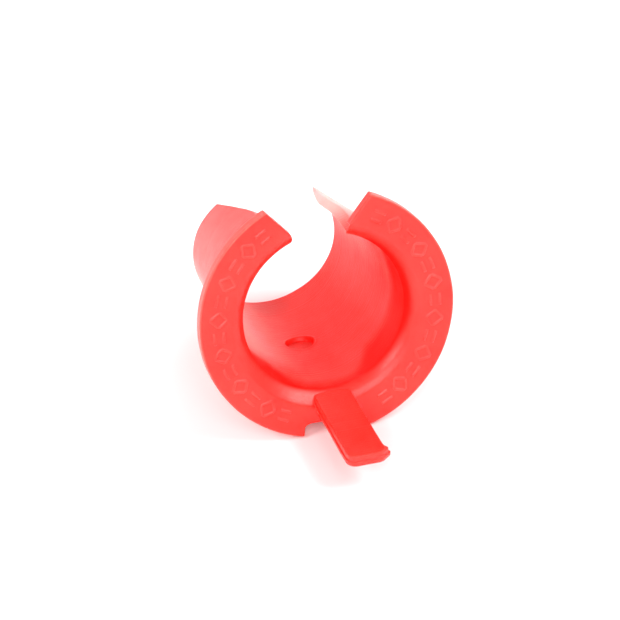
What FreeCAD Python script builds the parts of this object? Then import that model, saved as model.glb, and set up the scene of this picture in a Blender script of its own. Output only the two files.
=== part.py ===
import FreeCAD, Part
import math
import os

from FreeCAD import Vector

# Split flanged insulating bushing, one flexible moulding.
# Millimetres. +Y is the bore axis, from the flange towards the rear of the sleeve, and +Z points from
# the living hinge up to the gap. The origin is on the bore axis, in the seating face of the flange.
# The nodes are the regions of the moulding: rigid arms and walls, and the thin strips that bend.

# Flange
FLANGE_RADIUS = 7.0
FLANGE_THICKNESS = 0.65
RIM_ROUND = 0.15
MOUTH_RADIUS = 5.2
MOUTH_SAG = 0.24              # how far the mouth's rounding bows into the bore
FRONT = -FLANGE_THICKNESS     # Y of the front face

# Sleeve: a straight front, then a draft that also thins the wall
BORE_RADIUS = 4.45
WALL = 0.45
SLEEVE_RADIUS = BORE_RADIUS + WALL
STRAIGHT_LENGTH = 3.3         # behind the seating face
SLEEVE_LENGTH = 12.34         # behind the seating face, along the bottom
REAR_BORE_RADIUS = 4.26
REAR_RADIUS = 4.53

# Wings: the rear of the sleeve wall on each side, which leans inward towards a pointed tip
TIP_LENGTH = 10.77            # behind the seating face, at the wing tips
CURL_START = 25.0             # degrees from the bottom, where the wings begin
TIP_ANGLE = 129.4             # degrees from the bottom, at the wing tips
TIP_INSET = 0.72              # how far a wing tip leans in
LEAN_POWER = 1.25             # how the lean grows up the wall; along the sleeve it grows evenly
EDGE_ANGLE = 153.2            # degrees from the bottom, at the split edge's outer corner
TAPER_START = 5.5             # Y where the split edges start to spread
TAPER_RATE = 2.39
TAPER_POWER = 1.25
EDGE_BEVEL = 5.5              # degrees by which the split edge's inner corner reaches further
TIP_THINNING = 0.75           # share of the wall's thickness lost at the tip
THINNING_POWER = 4            # how near the tip the thinning stays
WING_STEPS_UP = 15            # points the wing's skins run through
WING_STEPS_ALONG = 11

# Gap at the top and relief notch at the bottom
GAP_HALF = 1.46
GAP_CORNER = 4.72             # Z where the parallel sides turn into the V
GAP_RIM_HALF = 2.9            # half the gap's width at the rim
NOTCH_HALF = 1.77
NOTCH_TOP = -6.06
NOTCH_CORNER = 0.4

# Living hinge: a middle web, a bending strip each side, then the arms
WEB_HALF = 1.25
ARM_START = 1.45

# Round sink recess in the floor of the sleeve
RECESS_RADIUS = 0.8
RECESS_FLOOR = 4.6            # how far below the bore axis its flat floor lies
RECESS_Y = 6.15

# Tongue in front of the flange
TONGUE_HALF = 1.08
TONGUE_TOP = -4.66            # Z of its top at the front face
TONGUE_LENGTH = 6.1
TONGUE_DROOP = 9.1            # degrees
TONGUE_THICKNESS = 0.62
TONGUE_CORNER = 0.55
TONGUE_FLEX = 0.3             # length of the strip that bends
LIP_WIDTH = 0.22
LIP_HEIGHT = 0.1
FLEX_OVERLAP = 0.2            # how far the bending strip is started inside the flange before it is trimmed

REACH = 20.0                  # longer than the whole part
CLEAR = 1.0                   # how far a cutter runs past the face it cuts
SPLIT_REACH = 3.0             # how far the split's cutter runs past the wall, in walls' widths
SAME = 1e-6                   # closer than this counts as the same place
SEAM = 1e-5                   # sewing tolerance of the wing's faces


def box(x0, x1, y0, y1, z0, z1):
    return Part.makeBox(x1 - x0, y1 - y0, z1 - z0, Vector(x0, y0, z0))


def tube(inner, outer, start, length):
    axis = Vector(0, 1, 0)
    base = Vector(0, start, 0)
    return Part.makeCylinder(outer, length, base, axis).cut(Part.makeCylinder(inner, length, base, axis))


def revolve_about_bore(edges):
    face = Part.Face(Part.Wire(edges))
    return face.revolve(Vector(0, 0, 0), Vector(0, 1, 0), 360)


def line(a, b):
    return Part.LineSegment(a, b).toShape()


def arc(a, middle, b):
    return Part.Arc(a, middle, b).toShape()


def prism(outline, start, length):
    """A closed outline in X and Z, run along Y."""
    points = [Vector(x, start, z) for x, z in outline]
    wire = Part.makePolygon(points + points[:1])
    return Part.Face(wire).extrude(Vector(0, length, 0))


def flange_ring():
    """The whole ring: rounded rim, flat faces and the rounded mouth of the bore."""
    bow = RIM_ROUND * (1 - math.sqrt(0.5))
    mouth_edge = Vector(MOUTH_RADIUS, FRONT, 0)
    mouth_middle = Vector((MOUTH_RADIUS + BORE_RADIUS) / 2 - MOUTH_SAG / 2, FRONT + MOUTH_SAG, 0)
    throat = Vector(BORE_RADIUS, 0, 0)
    front_in = Vector(FLANGE_RADIUS - RIM_ROUND, FRONT, 0)
    front_mid = Vector(FLANGE_RADIUS - bow, FRONT + bow, 0)
    front_out = Vector(FLANGE_RADIUS, FRONT + RIM_ROUND, 0)
    rear_out = Vector(FLANGE_RADIUS, -RIM_ROUND, 0)
    rear_mid = Vector(FLANGE_RADIUS - bow, -bow, 0)
    rear_in = Vector(FLANGE_RADIUS - RIM_ROUND, 0, 0)
    return revolve_about_bore([
        line(mouth_edge, front_in),
        arc(front_in, front_mid, front_out),
        line(front_out, rear_out),
        arc(rear_out, rear_mid, rear_in),
        line(rear_in, throat),
        arc(throat, mouth_middle, mouth_edge),
    ])


def gap_prism():
    """The V-mouthed gap at the top of the flange."""
    slope = (GAP_RIM_HALF - GAP_HALF) / (math.sqrt(FLANGE_RADIUS ** 2 - GAP_RIM_HALF ** 2) - GAP_CORNER)
    top = FLANGE_RADIUS + CLEAR
    wide = GAP_HALF + slope * (top - GAP_CORNER)
    right = [(GAP_HALF, 0), (GAP_HALF, GAP_CORNER), (wide, top)]
    left = [(-x, z) for x, z in reversed(right)]
    return prism(right + left, FRONT - CLEAR, FLANGE_THICKNESS + 2 * CLEAR)


def notch_prism():
    """The relief notch in the rim, opposite the gap, with rounded inner corners."""
    notch = box(-NOTCH_HALF, NOTCH_HALF, FRONT - CLEAR, CLEAR, -FLANGE_RADIUS - CLEAR, NOTCH_TOP)
    corners = [edge for edge in notch.Edges
               if abs(edge.CenterOfMass.z - NOTCH_TOP) < SAME and abs(edge.CenterOfMass.x) > NOTCH_HALF - SAME]
    return notch.makeFillet(NOTCH_CORNER, corners)


def on_sleeve(radius, degrees, y):
    """A point at an angle measured from the bottom of the sleeve, on the right."""
    turn = math.radians(degrees)
    return Vector(radius * math.sin(turn), y, -radius * math.cos(turn))


def edge_angle(y):
    """Angle from the bottom to the split edge of the sleeve, on the outside."""
    return EDGE_ANGLE - TAPER_RATE * max(0.0, y - TAPER_START) ** TAPER_POWER


def drafted(front, rear, y):
    return front + (rear - front) * (y - STRAIGHT_LENGTH) / (SLEEVE_LENGTH - STRAIGHT_LENGTH)


def wing_point(u, v, inside):
    """A point of the right wing: u runs up to the split edge, v towards the rear."""
    last = edge_angle(STRAIGHT_LENGTH + v * (TIP_LENGTH - STRAIGHT_LENGTH))
    if inside:
        last += EDGE_BEVEL * (1 - v)
    angle = CURL_START + u * (last - CURL_START)
    end = SLEEVE_LENGTH + u * (TIP_LENGTH - SLEEVE_LENGTH)
    y = STRAIGHT_LENGTH + v * (end - STRAIGHT_LENGTH)
    lean = ((angle - CURL_START) / (TIP_ANGLE - CURL_START)) ** LEAN_POWER * v
    radius = drafted(SLEEVE_RADIUS, REAR_RADIUS, y) - TIP_INSET * lean
    if inside:
        wall = drafted(WALL, REAR_RADIUS - REAR_BORE_RADIUS, y)
        radius -= wall * (1 - TIP_THINNING * (u * v) ** THINNING_POWER)
    return on_sleeve(radius, angle, y)


def right_wing():
    """One closed solid from an outer skin, an inner skin and the four ruled edges between them."""
    up = [i / (WING_STEPS_UP - 1) for i in range(WING_STEPS_UP)]
    along = [j / (WING_STEPS_ALONG - 1) for j in range(WING_STEPS_ALONG)]
    skins = []
    for inside in (False, True):
        grid = [[wing_point(u, v, inside) for v in along] for u in up]
        skin = Part.BSplineSurface()
        skin.interpolate(grid)
        skins.append(skin)
    outer, inner = skins
    u0, u1, v0, v1 = outer.bounds()
    a0, a1, b0, b1 = inner.bounds()
    sides = [
        (outer.uIso(u0), inner.uIso(a0)),
        (outer.uIso(u1), inner.uIso(a1)),
        (outer.vIso(v0), inner.vIso(b0)),
        (outer.vIso(v1), inner.vIso(b1)),
    ]
    faces = [outer.toShape(), inner.toShape()]
    faces += [Part.makeRuledSurface(a.toShape(), b.toShape()) for a, b in sides]
    shell = Part.Compound(faces)
    shell.sewShape(SEAM)
    solid = Part.Solid(shell.Shells[0])
    if solid.Volume < 0:
        solid.reverse()
    return solid


def right_side(shape, inner_x):
    return shape.common(box(inner_x, REACH, -REACH, REACH, -REACH, REACH))


def sleeve_blank(ring):
    """The sleeve before its wings, with the mouth of the bore at its front end."""
    front = tube(BORE_RADIUS, SLEEVE_RADIUS, 0, STRAIGHT_LENGTH)
    profile = [
        Vector(BORE_RADIUS, STRAIGHT_LENGTH, 0),
        Vector(SLEEVE_RADIUS, STRAIGHT_LENGTH, 0),
        Vector(REAR_RADIUS, SLEEVE_LENGTH, 0),
        Vector(REAR_BORE_RADIUS, SLEEVE_LENGTH, 0),
    ]
    rear = revolve_about_bore([line(a, b) for a, b in zip(profile, profile[1:] + profile[:1])])
    corner = on_sleeve(REACH, CURL_START, 0)
    below = prism([(0, 0), (corner.x, corner.z), (-corner.x, corner.z)], 0, REACH)
    inner, outer = on_sleeve(BORE_RADIUS, EDGE_ANGLE + EDGE_BEVEL, 0), on_sleeve(SLEEVE_RADIUS, EDGE_ANGLE, 0)
    past = (outer - inner) * SPLIT_REACH
    out_x, out_z = outer.x + past.x, outer.z + past.z
    in_x, in_z = inner.x - past.x, inner.z - past.z
    split = prism([(in_x, in_z), (out_x, out_z), (out_x, REACH), (-out_x, REACH), (-out_x, out_z), (-in_x, in_z)],
                  0, REACH)
    lip = ring.common(tube(BORE_RADIUS / 2, MOUTH_RADIUS, FRONT, FLANGE_THICKNESS))
    return lip.fuse(front.cut(split)).fuse(rear.common(below)).removeSplitter()


def bottom_strip(shape, inner_x, outer_x):
    return shape.common(box(inner_x, outer_x, -REACH, REACH, -REACH, 0))


def sleeve_floor(sleeve):
    recess = Part.makeCylinder(RECESS_RADIUS, RECESS_FLOOR, Vector(0, RECESS_Y, 0), Vector(0, 0, -1))
    return bottom_strip(sleeve, -WEB_HALF, WEB_HALF).cut(recess).cut(tongue_root())


def tongue_place(shape):
    """From flat, with its root at the origin and its top at Z 0, to its place on the flange."""
    shape.rotate(Vector(0, 0, 0), Vector(1, 0, 0), TONGUE_DROOP)
    shape.translate(Vector(0, FRONT, TONGUE_TOP))
    return shape


def tongue():
    """The flat tongue with rounded corners and a low lip round its end."""
    w, r = TONGUE_HALF, TONGUE_CORNER
    end = -TONGUE_LENGTH
    bow = r * (1 - math.sqrt(0.5))
    start = -TONGUE_FLEX
    edges = [
        line(Vector(-w, start, 0), Vector(w, start, 0)),
        line(Vector(w, start, 0), Vector(w, end + r, 0)),
        arc(Vector(w, end + r, 0), Vector(w - bow, end + bow, 0), Vector(w - r, end, 0)),
        line(Vector(w - r, end, 0), Vector(-w + r, end, 0)),
        arc(Vector(-w + r, end, 0), Vector(-w + bow, end + bow, 0), Vector(-w, end + r, 0)),
        line(Vector(-w, end + r, 0), Vector(-w, start, 0)),
    ]
    outline = Part.Wire(edges)
    blade = Part.Face(outline).extrude(Vector(0, 0, -TONGUE_THICKNESS))
    inner = outline.makeOffset2D(-LIP_WIDTH)
    rim = Part.Face(outline).cut(Part.Face(inner)).extrude(Vector(0, 0, LIP_HEIGHT))
    lip = rim.common(box(-w, w, end, end + 2 * r, 0, LIP_HEIGHT))
    return tongue_place(blade.fuse(lip).removeSplitter())


def tongue_root():
    """The tongue's root where it runs into the mouth of the bore, inside the flange's thickness."""
    rise = math.tan(math.radians(TONGUE_DROOP)) * FLANGE_THICKNESS
    base = TONGUE_TOP - TONGUE_THICKNESS
    side = [
        Vector(-TONGUE_HALF, FRONT, TONGUE_TOP),
        Vector(-TONGUE_HALF, 0, TONGUE_TOP + rise),
        Vector(-TONGUE_HALF, 0, base),
        Vector(-TONGUE_HALF, FRONT, base),
    ]
    wire = Part.makePolygon(side + side[:1])
    return Part.Face(wire).extrude(Vector(2 * TONGUE_HALF, 0, 0))


def tongue_flexure():
    """The short strip between web and tongue, which bends."""
    strip = box(-TONGUE_HALF, TONGUE_HALF, -TONGUE_FLEX, FLEX_OVERLAP, -TONGUE_THICKNESS, 0)
    strip = tongue_place(strip)
    return strip.common(box(-REACH, REACH, -REACH, FRONT, -REACH, REACH))


def hinge_web(flange):
    return bottom_strip(flange, -WEB_HALF, WEB_HALF).fuse(tongue_root()).removeSplitter()


def mirrored(shape):
    return shape.mirror(Vector(0, 0, 0), Vector(1, 0, 0))


def nodes():
    ring = flange_ring().cut(gap_prism()).cut(notch_prism())
    flange = ring.cut(tube(BORE_RADIUS / 2, MOUTH_RADIUS, FRONT, FLANGE_THICKNESS))
    sleeve = sleeve_blank(ring)
    right = {
        "flange_arm": right_side(flange, ARM_START),
        "sleeve_wall": right_side(sleeve, ARM_START),
        "wing": right_wing(),
        "flange_flexure": bottom_strip(flange, WEB_HALF, ARM_START),
        "sleeve_flexure": bottom_strip(sleeve, WEB_HALF, ARM_START),
    }
    made = {
        "hinge_web": hinge_web(flange),
        "sleeve_floor": sleeve_floor(sleeve),
        "tongue": tongue(),
        "tongue_flexure": tongue_flexure(),
    }
    for name, shape in right.items():
        made["right_" + name] = shape
        made["left_" + name] = mirrored(shape)
    return made


def main():
    os.makedirs("parts", exist_ok=True)
    for name, shape in sorted(nodes().items()):
        if len(shape.Solids) == 1:
            shape = shape.Solids[0]
        shape.exportStep(os.path.join("parts", name + ".step"))
        print(name, "solids", len(shape.Solids), "valid", shape.isValid(), "volume", round(shape.Volume, 3))


main()
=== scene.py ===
import math

import bmesh
import bpy
from mathutils import Matrix, Vector, noise


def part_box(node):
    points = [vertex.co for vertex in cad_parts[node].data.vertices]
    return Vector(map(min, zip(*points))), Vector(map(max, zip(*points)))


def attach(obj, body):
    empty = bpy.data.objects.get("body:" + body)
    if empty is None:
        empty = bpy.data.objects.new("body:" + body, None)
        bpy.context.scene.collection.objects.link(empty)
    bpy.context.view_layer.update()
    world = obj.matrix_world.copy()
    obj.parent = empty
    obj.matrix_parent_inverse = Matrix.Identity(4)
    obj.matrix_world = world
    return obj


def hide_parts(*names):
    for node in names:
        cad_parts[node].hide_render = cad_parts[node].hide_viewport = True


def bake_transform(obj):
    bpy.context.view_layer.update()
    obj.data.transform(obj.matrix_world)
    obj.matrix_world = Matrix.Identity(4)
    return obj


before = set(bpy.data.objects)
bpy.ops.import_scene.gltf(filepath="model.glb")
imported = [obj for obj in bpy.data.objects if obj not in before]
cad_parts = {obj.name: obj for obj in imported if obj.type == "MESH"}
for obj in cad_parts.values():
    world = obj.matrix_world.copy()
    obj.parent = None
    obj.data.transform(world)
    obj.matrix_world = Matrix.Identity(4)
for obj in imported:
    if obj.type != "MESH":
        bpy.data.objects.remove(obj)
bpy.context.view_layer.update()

MM = 0.001                    # every shape below is worked out in millimetres

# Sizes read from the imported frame
flange_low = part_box("left_flange_arm")[0]
sleeve_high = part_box("left_sleeve_wall")[1]
web_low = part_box("hinge_web")[0]
tongue_low, tongue_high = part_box("tongue")
FLANGE_RADIUS = -flange_low.x / MM
FRONT = flange_low.y / MM
SLEEVE_LENGTH = sleeve_high.y / MM
NOTCH_TOP = web_low.z / MM
TONGUE_HALF = tongue_high.x / MM
TONGUE_END = tongue_low.y / MM

# Sizes that the CAD model and this one share, in millimetres and degrees
MOUTH_RADIUS = 5.2
BORE_RADIUS = 4.45
SLEEVE_RADIUS = 4.9
REAR_BORE_RADIUS = 4.26
REAR_RADIUS = 4.53
STRAIGHT_LENGTH = 3.3
TIP_LENGTH = 10.77
CURL_START = 25.0
TIP_ANGLE = 129.4
TIP_INSET = 0.72
LEAN_POWER = 1.25
EDGE_ANGLE = 153.2
TAPER_START = 5.5
TAPER_RATE = 2.39
TAPER_POWER = 1.25
EDGE_BEVEL = 5.5
TIP_THINNING = 0.75
GAP_HALF = 1.46
GAP_CORNER = 4.72
GAP_RIM_HALF = 2.9
NOTCH_HALF = 1.77
NOTCH_CORNER = 0.4
RECESS_RADIUS = 0.8
RECESS_FLOOR = 4.6            # how far below the bore axis its floor lies
RECESS_X = 0.12               # the sink sits a little off the middle of the floor
RECESS_Y = 6.15
TONGUE_TOP = -4.66
TONGUE_DROOP = math.radians(9.1)
TONGUE_THICKNESS = 0.62
TONGUE_CORNER = 0.55


# ---------------------------------------------------------------- camera, floor and lights

def aim(obj, target):
    direction = Vector(target) - obj.location
    obj.rotation_mode = "QUATERNION"
    obj.rotation_quaternion = direction.to_track_quat("-Z", "Y")


def add_camera():
    data = bpy.data.cameras.new("camera")
    camera = bpy.data.objects.new("camera", data)
    bpy.context.scene.collection.objects.link(camera)
    right = Vector((0.95732, -0.27955, -0.07342))
    up = Vector((0.17572, 0.36123, 0.91577))
    back = Vector((-0.22948, -0.88959, 0.39494))
    place = Matrix((right, up, back)).transposed().to_4x4()
    place.translation = Vector((-60.50, -231.58, 103.01)) * MM
    camera.matrix_world = place
    data.sensor_width = 36.0
    data.lens = 285.3
    data.clip_start = 0.01
    data.clip_end = 10.0
    bpy.context.scene.camera = camera


FLOOR_HALF = 1.5              # metres
FLOOR_CLEARANCE = 0.02        # millimetres


def floor_frame():
    """The floor touches the flange's rim beside the notch and the rear end of the sleeve."""
    front = Vector((0, FRONT / 2, -math.sqrt(FLANGE_RADIUS ** 2 - NOTCH_HALF ** 2))) * MM
    rear = Vector((0, SLEEVE_LENGTH, -REAR_RADIUS)) * MM
    along = (rear - front).normalized()
    normal = Vector((1, 0, 0)).cross(along)
    return front, along, normal


def add_floor(material):
    front, along, normal = floor_frame()
    across = Vector((1, 0, 0)) * FLOOR_HALF
    along = along * FLOOR_HALF
    centre = front - normal * FLOOR_CLEARANCE * MM
    corners = [centre + across * x + along * y for x, y in ((-1, -1), (1, -1), (1, 1), (-1, 1))]
    mesh = bpy.data.meshes.new("floor")
    mesh.from_pydata(corners, [], [(0, 1, 2, 3)])
    mesh.materials.append(material)
    floor = bpy.data.objects.new("floor", mesh)
    bpy.context.scene.collection.objects.link(floor)


LIGHT_DISTANCE = 0.40         # metres
LIGHT_TARGET = (0, 0.004, -0.002)


def add_softbox(name, azimuth, elevation, size, watts):
    """Azimuth 0 is behind the camera's side of the object (towards -Y) and grows towards +X."""
    data = bpy.data.lights.new(name, "AREA")
    data.shape = "SQUARE"
    data.size = size
    data.energy = watts
    light = bpy.data.objects.new(name, data)
    bpy.context.scene.collection.objects.link(light)
    a, e = math.radians(azimuth), math.radians(elevation)
    toward = Vector((math.sin(a) * math.cos(e), -math.cos(a) * math.cos(e), math.sin(e)))
    light.location = toward * LIGHT_DISTANCE
    aim(light, LIGHT_TARGET)


def add_lights():
    scene = bpy.context.scene
    world = bpy.data.worlds.new("studio")
    scene.world = world
    world.use_nodes = True
    background = world.node_tree.nodes["Background"]
    background.inputs["Color"].default_value = (1, 1, 1, 1)
    background.inputs["Strength"].default_value = 0.56
    add_softbox("front_fill", -14, 24, 0.26, 0.95)
    add_softbox("key_right", 53, 42, 0.16, 0.95)
    add_softbox("key_left", -66, 33, 0.16, 0.65)
    add_softbox("back_right", 140, 46, 0.18, 0.30)
    add_softbox("back_left", -152, 50, 0.20, 0.32)
    scene.view_settings.view_transform = "Standard"
    scene.view_settings.look = "None"


# ---------------------------------------------------------------- materials

# Colours of painted light and shade, where they differ from the moulding's own red: a painted glow, painted
# light, painted shade and a painted rim highlight
PAINTED_GLOW_COLOUR = (1.0, 0.42, 0.38, 1)
PAINTED_LIGHT_COLOUR = (1.0, 0.30, 0.27, 1)
RIM_HIGHLIGHT_COLOUR = (1.0, 0.22, 0.18, 1)
PAINTED_SHADE_COLOUR = (0.93, 0.004, 0.002, 1)
RIM_HIGHLIGHT_SHARE = 0.3
MIDDLE_SHARE = 0.4
RELIEF_DEPTH = 0.018


class Graph:
    """The nodes of one material. A value is a node's output or a constant."""

    def __init__(self, name):
        self.material = bpy.data.materials.new(name)
        self.material.use_nodes = True
        self.nodes = self.material.node_tree.nodes
        self.links = self.material.node_tree.links
        self.shader = self.nodes["Principled BSDF"]

    def feed(self, socket, value):
        if isinstance(value, bpy.types.NodeSocket):
            self.links.new(value, socket)
        else:
            socket.default_value = value

    def math(self, operation, *values):
        node = self.nodes.new("ShaderNodeMath")
        node.operation = operation
        for socket, value in zip(node.inputs, values):
            self.feed(socket, value)
        return node.outputs["Value"]

    def product(self, first, *others):
        for value in others:
            first = self.math("MULTIPLY", first, value)
        return first

    def ramp(self, value, low, high):
        """0 up to low, 1 from high on, smooth between."""
        node = self.nodes.new("ShaderNodeMapRange")
        node.interpolation_type = "SMOOTHSTEP"
        node.inputs["From Min"].default_value = low
        node.inputs["From Max"].default_value = high
        self.feed(node.inputs["Value"], value)
        return node.outputs["Result"]

    def between(self, share, first, last):
        """From first where share is 0 to last where it is 1."""
        node = self.nodes.new("ShaderNodeMapRange")
        node.inputs["To Min"].default_value = first
        node.inputs["To Max"].default_value = last
        self.feed(node.inputs["Value"], share)
        return node.outputs["Result"]

    def tinted(self, base, tint, share):
        node = self.nodes.new("ShaderNodeMix")
        node.data_type = "RGBA"
        self.feed(node.inputs["A"], base)
        self.feed(node.inputs["B"], tint)
        self.feed(node.inputs["Factor"], share)
        return node.outputs["Result"]

    def vector(self, operation, value, output):
        node = self.nodes.new("ShaderNodeVectorMath")
        node.operation = operation
        self.feed(node.inputs[0], value)
        return node, node.outputs[output]

    def noise(self, place, scale, detail):
        node = self.nodes.new("ShaderNodeTexNoise")
        node.inputs["Scale"].default_value = scale
        node.inputs["Detail"].default_value = detail
        self.feed(node.inputs["Vector"], place)
        return node.outputs["Fac"]

    def line_noise(self, value, scale, detail):
        node = self.nodes.new("ShaderNodeTexNoise")
        node.noise_dimensions = "1D"
        node.inputs["Scale"].default_value = scale
        node.inputs["Detail"].default_value = detail
        self.feed(node.inputs["W"], value)
        return node.outputs["Fac"]

    def object_place(self):
        return self.nodes.new("ShaderNodeTexCoord").outputs["Object"]


def floor_material():
    graph = Graph("white_sweep")
    graph.shader.inputs["Roughness"].default_value = 0.7
    graph.shader.inputs["Specular IOR Level"].default_value = 0.2
    mottle = graph.noise(graph.object_place(), 6.0, 2.0)
    tint = graph.tinted((0.90, 0.90, 0.90, 1), (0.93, 0.93, 0.93, 1), mottle)
    graph.feed(graph.shader.inputs["Base Color"], tint)
    return graph.material


class Place:
    """Where a point lies, in millimetres in the frame, and how far from the bore axis."""

    def __init__(self, graph):
        scale, self.point = graph.vector("SCALE", graph.object_place(), "Vector")
        scale.inputs["Scale"].default_value = 1 / MM
        axes = graph.nodes.new("ShaderNodeSeparateXYZ")
        graph.feed(axes.inputs["Vector"], self.point)
        self.x, self.y, self.z = (axes.outputs[name] for name in "XYZ")
        across = graph.nodes.new("ShaderNodeCombineXYZ")
        graph.feed(across.inputs["X"], self.x)
        graph.feed(across.inputs["Z"], self.z)
        self.radius = graph.vector("LENGTH", across.outputs["Vector"], "Value")[1]


def glow_painted_upper_right(graph, at):
    """Painted glow, as of light coming through the wall: the upper rear of the wall on the right."""
    return graph.product(graph.ramp(at.y, -0.1, 4.5), graph.ramp(at.z, 1.0, 4.2),
                         graph.ramp(at.x, -1.0, 1.5))


def light_painted_left_bore(graph, at):
    """Painted light: the lower rear of the wall on the left is made paler."""
    return graph.product(graph.ramp(at.x, -0.5, -3.2), graph.ramp(at.z, 0.0, -2.0),
                         graph.ramp(at.y, 2.2, 4.8))


def shade_band_painted(graph, at):
    """Painted shade: the band of the bore behind the lip, shorter at the bottom and starting further forward
    on the right, and more weakly the low right of the bore."""
    on_right = graph.product(graph.ramp(at.x, 1.5, 3.5), graph.ramp(at.z, -3.0, -0.5))
    behind_lip = graph.ramp(graph.math("MULTIPLY_ADD", on_right, 0.28, at.y), -0.35, 0.1)
    at_bottom = graph.ramp(at.z, -3.4, -4.3)
    before_wall = graph.ramp(graph.math("MULTIPLY_ADD", at_bottom, 1.8, at.y), 3.6, 1.5)
    below_edge = graph.ramp(at.z, 4.2, 3.6)
    band = graph.product(behind_lip, before_wall, below_edge)
    low_right = graph.product(graph.ramp(at.z, 1.2, -0.8), graph.ramp(at.x, -1.5, 1.5))
    low_right = graph.product(low_right, behind_lip, MIDDLE_SHARE)
    inside_bore = graph.ramp(at.radius, 5.0, 4.7)
    return graph.product(graph.math("MAXIMUM", band, low_right), inside_bore)


def melt_clouds(graph, at, low, high):
    ramp = graph.nodes.new("ShaderNodeValToRGB")
    for element, position, colour in zip(ramp.color_ramp.elements, (0.3, 0.7), (low, high)):
        element.position = position
        element.color = colour
    graph.feed(ramp.inputs["Fac"], graph.noise(at.point, 0.35, 3.0))
    return ramp.outputs["Color"]


def surface_relief(graph, at):
    """Turned tool marks round the bore, and a fine grain."""
    bump = graph.nodes.new("ShaderNodeBump")
    bump.inputs["Strength"].default_value = 0.9
    bump.inputs["Distance"].default_value = RELIEF_DEPTH * MM
    turned = graph.line_noise(at.y, 7.0, 4.0)
    graph.feed(bump.inputs["Height"], graph.math("ADD", turned, graph.noise(at.point, 9.0, 3.0)))
    return bump.outputs["Normal"]


def plastic_material(name, bleed, low, high):
    """Soft, slightly translucent red moulding: lighter clouds from the melt flow, faint turned tool marks
    that run round the bore, and a fine satin grain. bleed is how far light spreads inside, in millimetres,
    and the colour lies between low and high. Over it lie painted light and shade: a painted glow on the
    upper right wall, painted light low on the left of the bore, painted shade behind the lip and a painted
    highlight along the rim."""
    graph = Graph(name)
    shader = graph.shader
    shader.inputs["IOR"].default_value = 1.45
    shader.inputs["Coat Weight"].default_value = 0.08
    shader.inputs["Coat Roughness"].default_value = 0.22
    shader.inputs["Subsurface Weight"].default_value = 1.0
    shader.inputs["Subsurface Radius"].default_value = (1.0, 0.22, 0.18)
    shader.inputs["Subsurface Scale"].default_value = bleed * MM

    at = Place(graph)
    # painted shade behind the lip and low on the right of the bore
    painted_shade = shade_band_painted(graph, at)
    # a painted highlight along the outer rim of the flange
    rim = graph.product(graph.ramp(at.radius, 6.88, 6.97), RIM_HIGHLIGHT_SHARE)
    colour = melt_clouds(graph, at, low, high)
    for tint, share in ((PAINTED_GLOW_COLOUR, glow_painted_upper_right(graph, at)), (PAINTED_LIGHT_COLOUR, light_painted_left_bore(graph, at)),
                        (PAINTED_SHADE_COLOUR, painted_shade), (RIM_HIGHLIGHT_COLOUR, rim)):
        colour = graph.tinted(colour, tint, share)
    graph.feed(shader.inputs["Base Color"], colour)
    # the specular level drops in the painted shade, which dims its reflections as well
    graph.feed(shader.inputs["Specular IOR Level"], graph.between(painted_shade, 0.5, 0.12))
    gloss = graph.between(graph.noise(at.point, 1.6, 4.0), 0.27, 0.42)
    graph.feed(shader.inputs["Roughness"], graph.math("MULTIPLY_ADD", painted_shade, 0.3, gloss))
    graph.feed(shader.inputs["Normal"], surface_relief(graph, at))
    return graph.material


# ---------------------------------------------------------------- shape of the bushing

def polar(radius, degrees, y):
    """A point on the right, at an angle measured from the bottom."""
    turn = math.radians(degrees)
    return Vector((radius * math.sin(turn), y, -radius * math.cos(turn)))


def mix(a, b, t):
    return a + (b - a) * t


def spread(first, last, steps):
    return [mix(first, last, i / steps) for i in range(steps + 1)]


class Column:
    """One line of the skin, from the living hinge (bottom) to the gap. angle holds up to where the wings
    start, and rise then runs from 0 to 1 up to the gap, wherever the gap's edge is at that depth."""

    def __init__(self, angle, rise=0.0):
        self.angle = angle
        self.rise = rise

    def at(self, last):
        return self.angle + self.rise * (last - CURL_START)


NOTCH_FLAT_END = math.degrees(math.atan((NOTCH_HALF - NOTCH_CORNER) / -NOTCH_TOP))
NOTCH_ARC_END = NOTCH_FLAT_END + 2.6
NOTCH_WALL_END = NOTCH_ARC_END + 2.0


def columns():
    low = spread(0, NOTCH_FLAT_END, 6)[:-1]
    low += spread(NOTCH_FLAT_END, NOTCH_ARC_END, 4)[:-1]
    low += spread(NOTCH_ARC_END, NOTCH_WALL_END, 3)[:-1]
    low += spread(NOTCH_WALL_END, CURL_START, 3)
    high = spread(0, 1, 40)[1:-1] + [0.99, 1.0]
    return [Column(a) for a in low] + [Column(CURL_START, t) for t in high]


def rim_point(column, y):
    """On the flange's outline: the notch, its wall, then the round rim up to the gap."""
    corner_z = NOTCH_TOP - NOTCH_CORNER
    rim_z = -math.sqrt(FLANGE_RADIUS ** 2 - NOTCH_HALF ** 2)
    angle = column.angle
    if angle <= NOTCH_FLAT_END:
        return Vector((-NOTCH_TOP * math.tan(math.radians(angle)), y, NOTCH_TOP))
    if angle <= NOTCH_ARC_END:
        turn = (angle - NOTCH_FLAT_END) / (NOTCH_ARC_END - NOTCH_FLAT_END) * math.pi / 2
        inner = NOTCH_HALF - NOTCH_CORNER
        return Vector((inner + NOTCH_CORNER * math.sin(turn), y, corner_z + NOTCH_CORNER * math.cos(turn)))
    if angle <= NOTCH_WALL_END:
        down = (angle - NOTCH_ARC_END) / (NOTCH_WALL_END - NOTCH_ARC_END)
        return Vector((NOTCH_HALF, y, mix(corner_z, rim_z, down)))
    first = math.degrees(math.asin(NOTCH_HALF / FLANGE_RADIUS))
    last = 180 - math.degrees(math.asin(GAP_RIM_HALF / FLANGE_RADIUS))
    low = mix(first, CURL_START, (angle - NOTCH_WALL_END) / (CURL_START - NOTCH_WALL_END))
    return polar(FLANGE_RADIUS, low + column.rise * (last - CURL_START), y)


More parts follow.
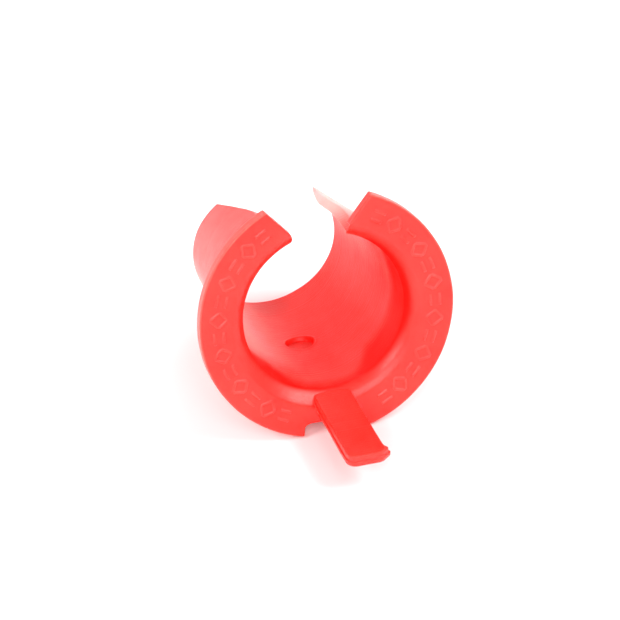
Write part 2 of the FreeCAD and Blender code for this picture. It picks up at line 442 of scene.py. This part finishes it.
def gap_angle(radius):
    """Where a circle meets the edge of the gap: its parallel sides, or the V above them."""
    rim_z = math.sqrt(FLANGE_RADIUS ** 2 - GAP_RIM_HALF ** 2)
    out_x, out_z = GAP_RIM_HALF - GAP_HALF, rim_z - GAP_CORNER
    a = out_x ** 2 + out_z ** 2
    b = GAP_HALF * out_x + GAP_CORNER * out_z
    c = GAP_HALF ** 2 + GAP_CORNER ** 2 - radius ** 2
    along = (math.sqrt(max(0.0, b * b - a * c)) - b) / a
    return 180 - math.degrees(math.asin((GAP_HALF + max(0.0, along) * out_x) / radius))


def edge_angle(y):
    return EDGE_ANGLE - TAPER_RATE * max(0.0, y - TAPER_START) ** TAPER_POWER


def sleeve_point(column, v, inside):
    """On the sleeve: v runs from the seating face to the rear."""
    rise = column.rise
    end = mix(SLEEVE_LENGTH, TIP_LENGTH, rise)
    y = v * end
    far = max(0.0, v * TIP_LENGTH - STRAIGHT_LENGTH) / (TIP_LENGTH - STRAIGHT_LENGTH)
    last = edge_angle(v * TIP_LENGTH)
    if inside:
        last += EDGE_BEVEL * (1 - far)
    angle = column.at(last)
    draft = max(0.0, y - STRAIGHT_LENGTH) / (SLEEVE_LENGTH - STRAIGHT_LENGTH)
    outer = mix(SLEEVE_RADIUS, REAR_RADIUS, draft)
    wall = outer - mix(BORE_RADIUS, REAR_BORE_RADIUS, draft)
    lean = max(0.0, (angle - CURL_START) / (TIP_ANGLE - CURL_START)) ** LEAN_POWER * far
    radius = outer - TIP_INSET * lean
    if inside:
        radius -= wall * (1 - TIP_THINNING * (rise * far) ** 4)
    return polar(radius, angle, y)


def mouth_point(column, outward, forward):
    """On the mouth's chamfer, by its share of the way out to the front face's edge and of the way forward."""
    radius = mix(BORE_RADIUS, MOUTH_RADIUS, outward)
    return polar(radius, column.at(gap_angle(radius)), FRONT * forward)


FILLET = 0.16                 # between the sleeve and the seating face


def skin_rows(column, bulge):
    """The two sides of the sheet along one column, from the rear of the sleeve to the rim. Both lists have
    the same length, so that they can be joined across the sheet at every edge. bulge rounds the chamfer."""
    depths = [1.0, 0.985] + spread(0.96, 0.62, 11)
    depths += spread(0.60, 0.40, 12)     # closer together round the recess
    depths += spread(0.37, 0.05, 8) + [0.022]
    inner = [sleeve_point(column, v, True) for v in depths]
    outer = [sleeve_point(column, v, False) for v in depths]
    inner.append(mouth_point(column, 0.0, 0.04))
    inner.append(mouth_point(column, 0.12, 0.20))
    inner += [mouth_point(column, t, mix(0.16, 1.0, t) + bulge * math.sin(t * math.pi))
              for t in (0.4, 0.85, 1.0)]
    rear_start = SLEEVE_RADIUS + FILLET
    foot = sleeve_point(column, 0.012, False)
    shelf = polar(rear_start, column.at(gap_angle(rear_start)), 0)
    elbow = polar(SLEEVE_RADIUS + 0.02, column.at(mix(EDGE_ANGLE, gap_angle(rear_start), 0.3)), 0.02)
    outer += [foot, mix(foot, elbow, 0.6), elbow, mix(elbow, shelf, 0.5), shelf]
    front_edge = inner[-1]
    for t in (0.06, 0.2, 0.36, 0.52, 0.68, 0.83, 0.94, 1.0):
        inner.append(mix(front_edge, rim_point(column, FRONT), t))
        outer.append(mix(shelf, rim_point(column, 0), t))
    return inner, outer


def mirror(point):
    return Vector((-point.x, point.y, point.z))


def sheet_mesh(name, inner, outer):
    """A closed mesh round two grids of points that lie opposite each other, with two rows across every edge
    so that subdivision rounds it tightly."""
    bm = bmesh.new()
    steps, rows = len(inner), len(inner[0])
    across = (0.2, 0.8)
    on_inner = [[bm.verts.new(p) for p in line] for line in inner]
    on_outer = [[bm.verts.new(p) for p in line] for line in outer]
    border = [(i, 0) for i in range(steps)] + [(steps - 1, j) for j in range(1, rows)]
    border += [(i, rows - 1) for i in range(steps - 2, -1, -1)] + [(0, j) for j in range(rows - 2, 0, -1)]
    for i in range(steps - 1):
        for j in range(rows - 1):
            a, b, c, d = (i, j), (i + 1, j), (i + 1, j + 1), (i, j + 1)
            bm.faces.new([on_inner[p][q] for p, q in (a, b, c, d)])
            bm.faces.new([on_outer[p][q] for p, q in (d, c, b, a)])
    loops = [[on_inner[i][j] for i, j in border]]
    for t in across:
        loops.append([bm.verts.new(mix(inner[i][j], outer[i][j], t)) for i, j in border])
    loops.append([on_outer[i][j] for i, j in border])
    for first, second in zip(loops, loops[1:]):
        for k in range(len(border)):
            n = (k + 1) % len(border)
            bm.faces.new([first[n], first[k], second[k], second[n]])
    bmesh.ops.recalc_face_normals(bm, faces=bm.faces)
    return finish_mesh(name, bm)


def finish_mesh(name, bm):
    mesh = bpy.data.meshes.new(name)
    bm.to_mesh(mesh)
    bm.free()
    obj = bpy.data.objects.new(name, mesh)
    bpy.context.scene.collection.objects.link(obj)
    return obj


def subdivide(obj, levels):
    modifier = obj.modifiers.new("round", "SUBSURF")
    modifier.levels = levels
    modifier.render_levels = levels
    depsgraph = bpy.context.evaluated_depsgraph_get()
    smooth = bpy.data.meshes.new_from_object(obj.evaluated_get(depsgraph))
    obj.modifiers.clear()
    obj.data = smooth
    return obj


def smooth_step(low, high, value):
    t = min(1.0, max(0.0, (value - low) / (high - low)))
    return t * t * (3 - 2 * t)


RECESS_SLOPE = 0.1            # width of the recess's sloping wall
CREST_HEIGHT = 0.03
CREST_AWAY = 0.05
CREST_WIDTH = 0.06


def press_recess(obj):
    """The round sink in the floor of the sleeve, with a soft crest round its edge."""
    for vertex in obj.data.vertices:
        x, y, z = vertex.co
        radius = math.hypot(x, z)
        if z > 0 or radius > BORE_RADIUS + 0.05 or y < 1:
            continue
        distance = math.hypot(x - RECESS_X, y - RECESS_Y)
        sunk = 1 - smooth_step(RECESS_RADIUS - RECESS_SLOPE, RECESS_RADIUS, distance)
        crest = CREST_HEIGHT * math.exp(-((distance - RECESS_RADIUS - CREST_AWAY) / CREST_WIDTH) ** 2)
        vertex.co.z = mix(z, -RECESS_FLOOR, sunk) + crest


WANDER_SEED = 1


def wander(obj, amount, scale):
    """The slight unevenness of a thin moulding, the same each run."""
    noise.seed_set(WANDER_SEED)
    for vertex in obj.data.vertices:
        vertex.co += noise.noise_vector(vertex.co * scale) * amount


def to_metres(obj):
    obj.data.transform(Matrix.Scale(MM, 4))
    for face in obj.data.polygons:
        face.use_smooth = True


MOUTH_BULGE = 0.2             # rounding of the mouth, which is flatter on the lower left


def make_bushing(material):
    right = [skin_rows(c, MOUTH_BULGE) for c in columns()]
    left = [skin_rows(c, MOUTH_BULGE * smooth_step(40, 80, c.angle + 100 * c.rise))
            for c in reversed(columns()[1:])]
    inner = [[mirror(p) for p in side[0]] for side in left] + [side[0] for side in right]
    outer = [[mirror(p) for p in side[1]] for side in left] + [side[1] for side in right]
    bushing = sheet_mesh("bushing_skin", inner, outer)
    subdivide(bushing, 2)
    press_recess(bushing)
    wander(bushing, 0.012, 0.8)
    to_metres(bushing)
    bushing.data.materials.append(material)
    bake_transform(bushing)
    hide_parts(*[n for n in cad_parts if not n.startswith("tongue")])
    return bushing


# ---------------------------------------------------------------- plain raised marks on the face

MARK_RADIUS = 5.98            # from the bore axis to the middle of the row
MARK_WIDTH = 0.19
MARK_HEIGHT = 0.06
DASH_APART = 0.25             # from the middle of the row to each dash
DASH_HALF = 3.2               # degrees
DIAMOND_HALF = (0.5, 4.2)     # millimetres outward, degrees round


def add_ridge(bm, path, closed):
    """A low ridge with sloping sides along a path of (x, z) points on the front face."""
    count = len(path)
    rings = []
    for i, point in enumerate(path):
        before = path[i - 1] if closed or i else point
        after = path[(i + 1) % count] if closed or i < count - 1 else point
        along = (after - before).normalized()
        side = Vector((-along.y, along.x))
        ring = []
        for offset, rise in ((-0.5, -0.2), (-0.1, 1.0), (0.1, 1.0), (0.5, -0.2)):
            place = point + side * offset * MARK_WIDTH
            ring.append(bm.verts.new((place.x, FRONT - rise * MARK_HEIGHT, place.y)))
        rings.append(ring)
    spans = count if closed else count - 1
    for i in range(spans):
        first, second = rings[i], rings[(i + 1) % count]
        for k in range(3):
            bm.faces.new([first[k], first[k + 1], second[k + 1], second[k]])
    if not closed:
        bm.faces.new(rings[0][::-1])
        bm.faces.new(rings[-1])


def face_spot(radius, degrees, side):
    turn = math.radians(degrees)
    return Vector((side * radius * math.sin(turn), -radius * math.cos(turn)))


def add_marks(material, body, side):
    """Diamonds between pairs of short curved dashes that stand for the raised marks on the face, without
    copying them."""
    bm = bmesh.new()
    for k, degrees in enumerate(range(28, 149, 10)):
        if k % 2 == 0:
            for radius in (MARK_RADIUS - DASH_APART, MARK_RADIUS + DASH_APART):
                sweep = spread(degrees - DASH_HALF, degrees + DASH_HALF, 6)
                add_ridge(bm, [face_spot(radius, a, side) for a in sweep], False)
        else:
            out, turn = DIAMOND_HALF
            corners = [face_spot(MARK_RADIUS + out * a, degrees + turn * b, side)
                       for a, b in ((1, 0), (0, 1), (-1, 0), (0, -1))]
            sides = zip(corners, corners[1:] + corners[:1])
            path = [mix(a, b, t) for a, b in sides for t in (0.12, 0.5, 0.88)]
            add_ridge(bm, path, True)
    bmesh.ops.recalc_face_normals(bm, faces=bm.faces)
    marks = finish_mesh(body + "_marks", bm)
    to_metres(marks)
    marks.data.materials.append(material)
    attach(marks, body)


# ---------------------------------------------------------------- tongue

def tongue_outline(half, end, corner, root):
    """Points from the root's left corner round the tip to the root's right corner, seen from above."""
    left = [(-half, mix(root, end + corner, t)) for t in (0, 0.02, 0.06, 0.15, 0.3, 0.45, 0.6, 0.75, 0.9)]
    turns = [math.radians(a) for a in (0, 22.5, 45, 67.5, 90)]
    left += [(-half + corner * (1 - math.cos(a)), end + corner * (1 - math.sin(a))) for a in turns]
    tip = [(x * (half - corner), end) for x in (-0.5, 0.0, 0.5)]
    return left + tip + [(-x, y) for x, y in reversed(left)]


def tongue_layers():
    """Height below the top and how far the outline stands out there: a rounded top edge, the step of the
    parting line half way down, and a rounded underside."""
    t = TONGUE_THICKNESS
    return [(0.0, -0.16), (0.0, -0.11), (0.02, -0.075), (0.10, -0.06), (0.25, -0.055), (0.29, -0.05),
            (0.30, 0.01), (0.36, 0.03), (0.50, 0.02), (0.59, -0.02), (t, -0.08), (t, -0.13)]


TIP_SWELL = 0.13
NUB_SIZE = 0.2
NUB_FROM_END = 0.5
NUB_LOW, NUB_HIGH = -0.56, -0.06    # heights from the tongue's top


def add_gate_nub(tongue, length):
    """The tongue swells a little to the right, and a stub of the gate stands out at its corner."""
    for vertex in tongue.data.vertices:
        x, y, z = vertex.co
        if x > 0:
            vertex.co.x += TIP_SWELL * max(0.0, -y / length) ** 2
        away = math.hypot(x - TONGUE_HALF, y + length - NUB_FROM_END)
        if NUB_LOW < z < NUB_HIGH:
            vertex.co.x += NUB_SIZE * math.exp(-(away / NUB_SIZE) ** 2)


def make_tongue(material):
    root = 0.6
    length = (FRONT - TONGUE_END) / math.cos(TONGUE_DROOP)
    bm = bmesh.new()
    loops = []
    for depth, out in tongue_layers():
        outline = tongue_outline(TONGUE_HALF + out, -length - out, TONGUE_CORNER + out, root)
        loops.append([bm.verts.new((x, y, -depth)) for x, y in outline])
    count = len(loops[0])
    for upper, lower in zip(loops, loops[1:]):
        for k in range(count):
            n = (k + 1) % count
            bm.faces.new([upper[n], upper[k], lower[k], lower[n]])
    for loop, flip in ((loops[0], False), (loops[-1], True)):
        for k in range(count // 2):
            quad = [loop[k], loop[k + 1], loop[count - 2 - k], loop[count - 1 - k]]
            corners = list(dict.fromkeys(quad))
            if len(corners) > 2:
                bm.faces.new(corners[::-1] if flip else corners)
    bmesh.ops.recalc_face_normals(bm, faces=bm.faces)
    tongue = finish_mesh("tongue_skin", bm)
    subdivide(tongue, 2)
    add_gate_nub(tongue, length)
    wander(tongue, 0.02, 0.7)
    place = Matrix.Translation((0, FRONT, TONGUE_TOP)) @ Matrix.Rotation(TONGUE_DROOP, 4, "X")
    tongue.data.transform(place)
    to_metres(tongue)
    tongue.data.materials.append(material)
    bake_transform(tongue)
    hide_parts("tongue", "tongue_flexure")
    return tongue


add_camera()
add_floor(floor_material())
add_lights()
plastic = plastic_material("red_moulding", 0.9, (0.93, 0.018, 0.011, 1), (0.96, 0.033, 0.022, 1))
# the raised marks get a paler red, a painted highlight for light catching their flanks
raised = plastic_material("red_moulding_raised_painted_highlight", 0.15, (0.94, 0.025, 0.017, 1),
                          (0.98, 0.06, 0.045, 1))
make_bushing(plastic)
add_marks(raised, "left_half", -1)
add_marks(raised, "right_half", 1)
make_tongue(plastic)
